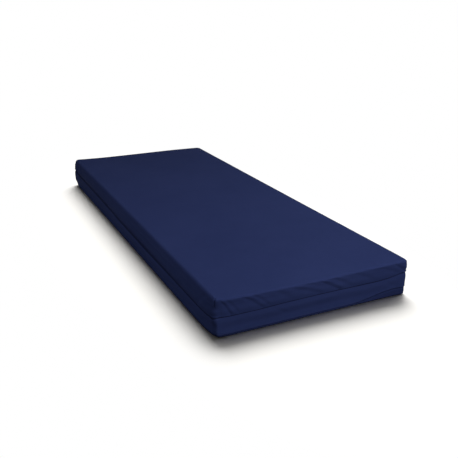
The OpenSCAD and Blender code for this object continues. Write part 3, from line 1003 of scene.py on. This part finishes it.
def buildChain(name, up):
    # every tooth is a block with a tapered head and a tapered heel
    middle, along, out = ringFrames(zipper["chainIn"] + zipper["chainThick"] / 2, zipper["toothPitch"])
    half, deep = zipper["toothLong"] / 2, zipper["chainThick"] / 2
    head, heel = zipper["chainLow"], zipper["chainLow"] + zipper["chainWide"]
    # height, then the shares of the tooth's length and of its outer half
    levels = [(head, 0.55, 0.5), (head + 0.5, 1.0, 1.0), (heel - 0.6, 0.85, 1.0), (heel, 0.7, 0.6)]
    shape = []
    for _, a, o in levels:
        shape += [(-half * a, -deep), (half * a, -deep), (half * a, deep * o), (-half * a, deep * o)]
    shape = np.array(shape)
    heights = np.repeat([level[0] for level in levels], 4)
    corners = middle[:, None] + along[:, None] * shape[:, :1] + out[:, None] * shape[:, 1:]
    z = np.broadcast_to(zipZ + up * heights, corners.shape[:2])
    points = np.concatenate([corners, z[..., None]], axis=2).reshape(-1, 3)
    sides = gridFaces(len(levels), 4)
    ends = [[0, 1, 2, 3], [15, 14, 13, 12]]
    block = np.vstack([ends, sides])
    if up < 0:
        block = block[:, ::-1]
    faces = (block[None] + len(shape) * np.arange(len(middle))[:, None, None]).reshape(-1, 4)
    obj = meshObject(name, points, faces, toothPlastic)
    shadeFaces(obj.data, False)
    return obj


for half, up in (("upper", 1), ("lower", -1)):
    tape = buildTape(half + "ZipTape", up)
    dress(tape, "root", half + "_zip_tape")
    dress(buildChain(half + "ZipChain", up), "root", half + "_zip_chain")
print("zip tapes and chain ready")


def softBlock(low, high, edge):
    # a block with rounded edges, in millimetres
    bm = bmesh.new()
    bmesh.ops.create_cube(bm, size=1.0)
    size, middle = np.subtract(high, low), np.add(high, low) / 2
    for v in bm.verts:
        v.co = Vector(np.array(v.co) * size + middle)
    edge = min(edge, 0.45 * float(min(size)))
    bmesh.ops.bevel(bm, geom=bm.edges[:], offset=edge, segments=2, profile=0.5, affect="EDGES")
    return bm


def bridgeLoops(bm, loops, capped=False):
    for a, b in zip(loops, loops[1:]):
        for n in range(len(a)):
            m = (n + 1) % len(a)
            bm.faces.new((a[n], a[m], b[m], b[n]))
    if capped:
        bm.faces.new(loops[0][::-1])
        bm.faces.new(loops[-1])


def insetOutline(points, by):
    p = np.array(points)
    ahead, behind = np.roll(p, -1, axis=0) - p, p - np.roll(p, 1, axis=0)
    n = sum(step / np.linalg.norm(step, axis=1, keepdims=True) for step in (ahead, behind))
    n = np.stack([-n[:, 1], n[:, 0]], axis=1)
    return p + n / np.linalg.norm(n, axis=1, keepdims=True) * by


def softPlate(outline, low, high, edge, hole=None):
    # a flat plate in the plane of the zip, from an outline of (y, z), between two depths in x
    bm = bmesh.new()

    def rimLoops(points, by):
        levels = [(insetOutline(points, by), low), (points, low + edge), (points, high - edge)]
        levels.append((levels[0][0], high))
        return [[bm.verts.new((x, y, z)) for y, z in level] for level, x in levels]

    loops = rimLoops(outline, edge)
    bridgeLoops(bm, loops, capped=hole is None)
    if hole is not None:
        rims = rimLoops(hole, -edge)
        bridgeLoops(bm, rims[::-1])
        bridgeLoops(bm, [rims[0], loops[0]])
        bridgeLoops(bm, [loops[-1], rims[-1]])
    return bm


def roundPin(middle, radius, low, high, bore=0.0, edge=0.2, steps=28):
    # an upright pin, or a sleeve where it has a bore
    bm = bmesh.new()
    turns = np.linspace(0, 2 * math.pi, steps, endpoint=False)
    circle = np.stack([np.cos(turns), np.sin(turns)], axis=1)
    levels = [(radius - edge, low), (radius, low + edge), (radius, high - edge), (radius - edge, high)]
    if bore:
        levels += [(bore, high), (bore, low)]
    loops = [[bm.verts.new((*(p * r + middle), z)) for p in circle] for r, z in levels]
    bridgeLoops(bm, loops + loops[:1] if bore else loops, capped=not bore)
    return bm


def joinBlocks(name, blocks, material):
    mesh = bpy.data.meshes.new(name)
    whole = bmesh.new()
    for bm in blocks:
        part = bpy.data.meshes.new("part")
        bm.to_mesh(part)
        bm.free()
        whole.from_mesh(part)
        bpy.data.meshes.remove(part)
    bmesh.ops.recalc_face_normals(whole, faces=whole.faces[:])
    for v in whole.verts:
        v.co *= mm
    whole.to_mesh(mesh)
    whole.free()
    mesh.materials.append(material)
    shadeFaces(mesh, True)
    mesh.set_sharp_from_angle(angle=math.radians(zipper["sharpDeg"]))
    return addObject(name, mesh)


slider = {
    "long": 15,
    "high": 11,
    "waist": 0.12,
    "waistReach": 0.45,  # as a share of the slider's length
    "plateSteps": 48,  # points round a plate and round the pull
    "pullSteps": 56,
    "squareness": 0.42,  # of the plates' outline, from 1 for an oval to 0 for a box
    "plateIn": 6.3,
    "plateThick": 1.4,
    "plateEdge": 0.35,
    "backIn": 11.4,
    "pinIn": 4.6,
    "pinR": 0.7,
    "knuckleR": 1.4,
    "knuckleLong": 3.6,
    "earThick": 1.2,
    "lipTo": 10.0,
    "lipThick": 1.2,
    "lipShare": 0.36,  # half the lip's length, as a share of the slider's
    "lipRoot": 0.3,  # how far the lips and ears start inside the plate
    "earRoot": 0.6,
    "earWider": 0.3,
    "web": 1.0,
    "webIn": 1.2,
    "clear": 0.3,  # play between parts that move
    "pinShort": 0.1,
    "boreClear": 0.05,
    "stopLong": 6,
    "pullLong": 28,
    "pullWide": 6,
    "pullThick": 1.2,
    "eye": (2.2, 8.4, 1.7),  # start and end of the pull's eye, and the rim beside it
    "neck": (0.8, 1.6),  # from the pin, and past the start of the pull's plate
    "ribs": 5,
    "ribFrom": 11.2,
    "ribPitch": 1.5,
    "ribHalf": 0.4,
    "ribIn": 0.9,
    "ribHigh": 0.18,
}
plateX, backX, pinX = [halfWide - slider[key] for key in ("plateIn", "backIn", "pinIn")]


def plateOutline(long, waist):
    # rounded outline of a slider plate, waisted behind its shoulders
    turns = np.linspace(0, 2 * math.pi, slider["plateSteps"], endpoint=False)
    c, s = np.cos(turns), np.sin(turns)
    y = np.sign(c) * np.abs(c) ** slider["squareness"] * long / 2
    z = np.sign(s) * np.abs(s) ** slider["squareness"] * slider["high"] / 2
    z *= 1 - waist * near(y, -long / 2, long * slider["waistReach"])
    return np.stack([y, z], axis=1)


def claspBlocks(y, long, waist):
    # two plates joined by a web, with a lip along each edge of the front one
    s = slider
    face = plateOutline(long, waist) + (y, zipZ)
    blocks = [softPlate(face, x - s["plateThick"], x, s["plateEdge"]) for x in (plateX, backX)]
    webHalf, middle = long / 2 - s["webIn"], s["plateThick"] / 2
    blocks.append(softBlock((backX - middle, y - webHalf, zipZ - s["web"] / 2),
                            (plateX - middle, y + webHalf, zipZ + s["web"] / 2), edge=0.2))
    lipHalf = long * s["lipShare"]
    for up in (-1, 1):
        z = zipZ + up * (s["high"] - s["lipThick"]) / 2
        blocks.append(softBlock((halfWide - s["lipTo"], y - lipHalf, z - s["lipThick"] / 2),
                                (plateX - s["lipRoot"], y + lipHalf, z + s["lipThick"] / 2), edge=0.3))
    return blocks


def buildSlider():
    s = slider
    blocks = claspBlocks(sliderY, s["long"], s["waist"])
    half = s["knuckleLong"] / 2 + s["clear"]
    pinHalf = half + s["earThick"] - s["pinShort"]
    blocks.append(roundPin((pinX, sliderY), s["pinR"], zipZ - pinHalf, zipZ + pinHalf))
    earHalf = s["knuckleR"] + s["earWider"]
    for low in (zipZ - half - s["earThick"], zipZ + half):
        high = low + s["earThick"]
        blocks.append(roundPin((pinX, sliderY), s["knuckleR"], low, high, edge=0.25))
        root = plateX - s["earRoot"]
        blocks.append(softBlock((root, sliderY - earHalf, low), (pinX, sliderY + earHalf, high), edge=0.25))
    return joinBlocks("zipSlider", blocks, nickel)


def buildStop():
    y = sliderY + (slider["long"] + slider["stopLong"]) / 2 + slider["clear"]
    return joinBlocks("zipStop", claspBlocks(y, slider["stopLong"], 0.0), nickel)


def buildPull():
    # the tab has a long eye, a rolled knuckle on the pin and a ribbed grip
    s = slider
    turns = np.linspace(0, 2 * math.pi, s["pullSteps"], endpoint=False)
    start, r = sliderY + s["long"] / 2, s["pullWide"] / 2

    def capsule(low, high, radius):
        y = np.where(np.cos(turns) > 0, high - radius, low + radius) + radius * np.cos(turns)
        return np.stack([y, zipZ + radius * np.sin(turns)], axis=1)

    eyeFrom, eyeTo, rim = s["eye"]
    low, high = pinX - s["pullThick"] / 2, pinX + s["pullThick"] / 2
    eye = capsule(start + eyeFrom, start + eyeTo, r - rim)
    blocks = [softPlate(capsule(start, sliderY + s["pullLong"], r), low, high, edge=0.3, hole=eye)]
    bottom, top = zipZ - s["knuckleLong"] / 2, zipZ + s["knuckleLong"] / 2
    neckFrom, neckTo = sliderY + s["neck"][0], start + s["neck"][1]
    blocks.append(softBlock((low, neckFrom, bottom), (high, neckTo, top), edge=0.25))
    blocks.append(roundPin((pinX, sliderY), s["knuckleR"], bottom, top, bore=s["pinR"] + s["boreClear"]))
    ribTall = r - s["ribIn"]
    for n in range(s["ribs"]):
        y = start + s["ribFrom"] + n * s["ribPitch"]
        blocks.append(softBlock((low - s["ribHigh"], y - s["ribHalf"], zipZ - ribTall),
                                (high + s["ribHigh"], y + s["ribHalf"], zipZ + ribTall), edge=0.16))
    return joinBlocks("zipPull", blocks, nickel)


dress(buildSlider(), "slider", "zip_slider")
dress(buildStop(), "root", "zip_stop")
dress(buildPull(), "pull", "zip_pull")
print("slider, stop and pull ready")


# The core: a knitted sock round foam that the cover hides
core = {
    "knitWhite": (0.74, 0.74, 0.70),
    "sockTop": 147,
    "sockUnderCover": 2.4,
    "sockDraw": 1.5,
    "sockRows": 9,
    "sockBias": 1.4,
    "sockLift": 4,  # it and the foam follow the edge's sag as if they lay this much higher
    "foamLift": 6,
    "sockEdge": [(24, -3.2), (17, -4.9), (12.2, -9.2), (9.8, -14.5)],  # how far in, and how far below its top
    "sockSide": [(9.8, 127), (11.0, 121.5), (13.6, 116.5), (13.8, 110), (13.8, 89), (13.8, 70), (13.8, 50),
                 (13.8, 22), (14.5, 12), (17, 5), (21, 2.2), (28, 1.5)],
    "straightZ": (75, 120),  # its sides aren't drawn in behind the zip
    "slit": (60, 360),  # it folds in under the foam and stays open in the middle
    "slitRows": 6,
    "squeeze": (0.982, 0.9915, 0.962),  # how much the cover presses the foam in
    "foamEdge": 1.6,
    "flatDeg": 2,  # angles below which faces are one, above which edges are softened, and shaded as sharp
    "edgeDeg": 40,
    "sharpDeg": 50,
}


def knitLook():
    mat, tree, where = newMaterial("sockKnit")
    loops = rowWaves(tree, where, pitch=0.0022, directions="XYZ")
    # painted shade: the knit's low places are darker, as the shade between the loops
    colour = rampNode(tree, loops, [(0.3, shade(core["knitWhite"], 0.82)), (0.7, core["knitWhite"])])
    bump = bumpNode(tree, loops, strength=0.6, deep=0.0003)
    setSurface(tree, Base_Color=colour, Roughness=0.9, Specular_IOR_Level=0.1, Sheen_Weight=0.2, Normal=bump)
    return mat


def foamLook(name, colour):
    # open-cell foam: fine pores in clumps, the pores painted darker as the shade inside them
    mat, tree, where = newMaterial(name)
    pores = addNode(tree, "TexVoronoi", Vector=where, Scale=420.0).outputs["Distance"]
    clumps = mathNode(tree, "MULTIPLY", noiseNode(tree, where, scale=60.0, detail=4.0), 0.4)
    mixed = mathNode(tree, "MULTIPLY_ADD", pores, 0.7, clumps)
    colour = rampNode(tree, mixed, [(0.2, shade(colour, 0.6)), (0.6, colour)])
    bump = bumpNode(tree, mixed, strength=0.7, deep=0.0006)
    setSurface(tree, Base_Color=colour, Roughness=0.95, Specular_IOR_Level=0.1, Normal=bump)
    return mat


def buildSock():
    rows = []
    edgeIn, coreR = core["sockEdge"][0][0], bed["coreR"]
    for f in np.linspace(1, 0, core["sockRows"]) ** core["sockBias"]:
        d = edgeIn + f * (upper["reach"] - edgeIn)
        z = bedHigh - upper["crown"] * (1 - f) ** 2 - core["sockUnderCover"]
        rows.append(sagged(ring(d, z, 0.0, coreR * float(smooth((1 - f) / upper["cornerOver"])))))
    for d, down in core["sockEdge"]:
        rows.append(sagged(ring(d, core["sockTop"] + down, core["sockDraw"], coreR), lift=core["sockLift"]))
    straightLow, straightHigh = core["straightZ"]
    for d, z in core["sockSide"]:
        rows.append(ring(d, z, 0.0 if straightLow <= z <= straightHigh else core["sockDraw"], coreR))
    for d in np.linspace(*core["slit"], core["slitRows"]):
        rows.append(ring(d, core["sockSide"][-1][1], 0.0, coreR))
    points, faces = panelShell(rows, 0, True)
    return meshObject("innerSock", points, faces, knitLook())


innerSock = buildSock()
dress(innerSock, "root", "inner_sock")

foams = [
    {"slot": "firm_foam", "name": "firmFoam", "colour": (0.15, 0.16, 0.19),
     "nodes": ["base_foam", "left_bolster", "right_bolster", "head_bolster", "foot_bolster"]},
    {"slot": "soft_foam", "name": "softFoam", "colour": (0.78, 0.70, 0.47),
     "nodes": ["head_zone", "torso_zone"]},
    {"slot": "heel_foam", "name": "heelFoam", "colour": (0.26, 0.39, 0.60), "nodes": ["heel_zone"]},
]


def buildFoam(node, material):
    # the solid's own form, squeezed a little by the cover, with softened edges
    zone, form = node.split("_")
    name = zone + form.capitalize()
    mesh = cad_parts[node].data.copy()
    mesh.name = name
    mesh.materials.clear()
    mesh.materials.append(material)
    bm = bmesh.new()
    bm.from_mesh(mesh)
    bmesh.ops.remove_doubles(bm, verts=bm.verts[:], dist=1e-6)
    flat, edge, sharp = [math.radians(core[key]) for key in ("flatDeg", "edgeDeg", "sharpDeg")]
    bmesh.ops.dissolve_limit(bm, angle_limit=flat, verts=bm.verts[:], edges=bm.edges[:])
    for v in bm.verts:
        v.co = Vector([a * b for a, b in zip(v.co, core["squeeze"])])
        x, y, z = [c / mm for c in v.co]
        v.co.z += float(min(edgeSag(across, y, z + core["foamLift"]) for across in (0, x))) * mm
    edges = [e for e in bm.edges if len(e.link_faces) == 2 and e.calc_face_angle(0) > edge]
    bmesh.ops.bevel(bm, geom=edges, offset=core["foamEdge"] * mm, segments=2, profile=0.5, affect="EDGES",
                    clamp_overlap=True)
    bm.to_mesh(mesh)
    bm.free()
    shadeFaces(mesh, True)
    mesh.set_sharp_from_angle(angle=sharp)
    return addObject(name, mesh)


for foam in foams:
    material = foamLook(foam["name"], foam["colour"])
    for node in foam["nodes"]:
        piece = buildFoam(node, material)
        dress(piece, "root", node)
print("sock and foam ready")


# Camera at the photograph's angle
view = {
    "azimuth": -25.51,
    "elevation": 20.66,
    "distance": 2.878,
    "target": (0.0123, -0.2571, 0.075),
    "focalPx": 635.7,
    "imagePx": 458,
}


def facing(at, direction):
    # a place that looks along the direction
    return Matrix.Translation(at) @ direction.to_track_quat("-Z", "Y").to_matrix().to_4x4()


def makeCamera():
    data = bpy.data.cameras.new("camera")
    data.sensor_width = 36.0
    data.lens = view["focalPx"] / view["imagePx"] * data.sensor_width
    data.clip_start, data.clip_end = 0.05, 60
    a, e = math.radians(view["azimuth"]), math.radians(view["elevation"])
    back = Vector((math.sin(a) * math.cos(e), -math.cos(a) * math.cos(e), math.sin(e)))
    camera = addObject("camera", data)
    camera.matrix_world = facing(Vector(view["target"]) + back * view["distance"], -back)
    bpy.context.scene.camera = camera


makeCamera()

studio = {
    "floorHalf": 14.0,
    "floorDown": 0.0005,
    "floorColour": (0.05, 0.05, 0.05, 1),  # what the floor throws back on the mattress
    "floorSeen": (1, 1, 1, 1),
    "whiteFrom": 1.35,  # how far from the middle, as shares of the mattress, the floor turns plain white
    "whiteAt": 1.9,
    "worldLight": 0.04,
    "worldColour": (1.0, 0.95, 0.86, 1),
    "sunColour": (1.0, 0.985, 0.95),
}


def seenRays(tree):
    rays = addNode(tree, "LightPath").outputs
    seen = mathNode(tree, "MAXIMUM", rays["Is Camera Ray"], rays["Is Glossy Ray"])
    return mathNode(tree, "MAXIMUM", seen, rays["Is Transmission Ray"])


def mixShaders(tree, share, first, second):
    node = addNode(tree, "MixShader")
    for socket, value in zip(node.inputs, (share, first.outputs[0], second.outputs[0])):
        plug(tree, value, socket)
    return node


def makeWorld():
    world = bpy.data.worlds.new("studio")
    bpy.context.scene.world = world
    world.use_nodes = True
    tree = world.node_tree
    tree.nodes.clear()
    light = addNode(tree, "Background", Color=studio["worldColour"], Strength=studio["worldLight"])
    white = addNode(tree, "Background", Color=(1, 1, 1, 1))
    mixed = mixShaders(tree, seenRays(tree), light, white)
    addNode(tree, "OutputWorld", Surface=mixed.outputs[0])


def floorLook():
    # white paper with the shadow on it and plain white further off, but dark to the light it throws back
    mat, tree, where = newMaterial("floorPaper")
    dark = addNode(tree, "BsdfDiffuse", Color=studio["floorColour"])
    paper = addNode(tree, "BsdfDiffuse", Color=studio["floorSeen"])
    shares = (1 / (halfWide * mm), 1 / (halfLong * mm), 1)
    scaled = addNode(tree, "Mapping", Vector=where, Scale=shares).outputs[0]
    far = addNode(tree, "VectorMath", {"operation": "LENGTH"}, Vector=scaled).outputs["Value"]
    fade = addNode(tree, "MapRange", {"interpolation_type": "SMOOTHSTEP"}, Value=far,
                   From_Min=studio["whiteFrom"], From_Max=studio["whiteAt"]).outputs[0]
    seen = mixShaders(tree, fade, paper, addNode(tree, "Emission"))
    mixed = mixShaders(tree, seenRays(tree), dark, seen)
    addNode(tree, "OutputMaterial", Surface=mixed.outputs[0])
    return mat


def makeFloor():
    mesh = bpy.data.meshes.new("floor")
    s = studio["floorHalf"]
    mesh.from_pydata([(-s, -s, 0), (s, -s, 0), (s, s, 0), (-s, s, 0)], [], [(0, 1, 2, 3)])
    mesh.materials.append(floorLook())
    floor = addObject("floor", mesh)
    floor.location.z = -studio["floorDown"]
    return floor


# Two soft suns throw the shadow and light the floor alone, and the boxes light the mattress
suns = [
    {"name": "floorSun", "at": (0.38, 0.61, 1.0), "to": (0, -0.2, 0), "angle": 39, "power": 3.3},
    {"name": "wideSun", "at": (0.88, 0.50, 1.0), "to": (0, -0.2, 0), "angle": 63, "power": 1.7},
]
boxes = [
    {"name": "topBox", "at": (1.3, -0.45, 2.2), "to": (0.1, -0.1, 0.1), "size": (1.6, 1.6), "power": 26.5},
    {"name": "frontBox", "at": (0.8, -3.0, 1.7), "to": (0.0, -0.9, 0.1), "size": (1.6, 1.0), "power": 56},
    {"name": "leftBox", "at": (-2.2, -0.8, 2.1), "to": (-0.4, -0.3, 0.1), "size": (1.4, 1.4), "power": 28},
]


def placeLamp(lamp, data, floor, linkState):
    data.energy = lamp["power"]
    obj = addObject(lamp["name"], data)
    at = Vector(lamp["at"])
    obj.matrix_world = facing(at, Vector(lamp["to"]) - at)
    lit = bpy.data.collections.new(lamp["name"] + "Lit")
    lit.objects.link(floor)
    lit.collection_objects[0].light_linking.link_state = linkState
    obj.light_linking.receiver_collection = lit


def makeSun(lamp, floor):
    data = bpy.data.lights.new(lamp["name"], "SUN")
    data.angle = math.radians(lamp["angle"])
    data.color = studio["sunColour"]
    placeLamp(lamp, data, floor, "INCLUDE")


def makeBox(lamp, floor):
    data = bpy.data.lights.new(lamp["name"], "AREA")
    data.shape = "RECTANGLE"
    data.size, data.size_y = lamp["size"]
    placeLamp(lamp, data, floor, "EXCLUDE")


makeWorld()
floor = makeFloor()
for lamp in suns:
    makeSun(lamp, floor)
for lamp in boxes:
    makeBox(lamp, floor)
bpy.context.scene.view_settings.view_transform = "Standard"
print("studio ready")
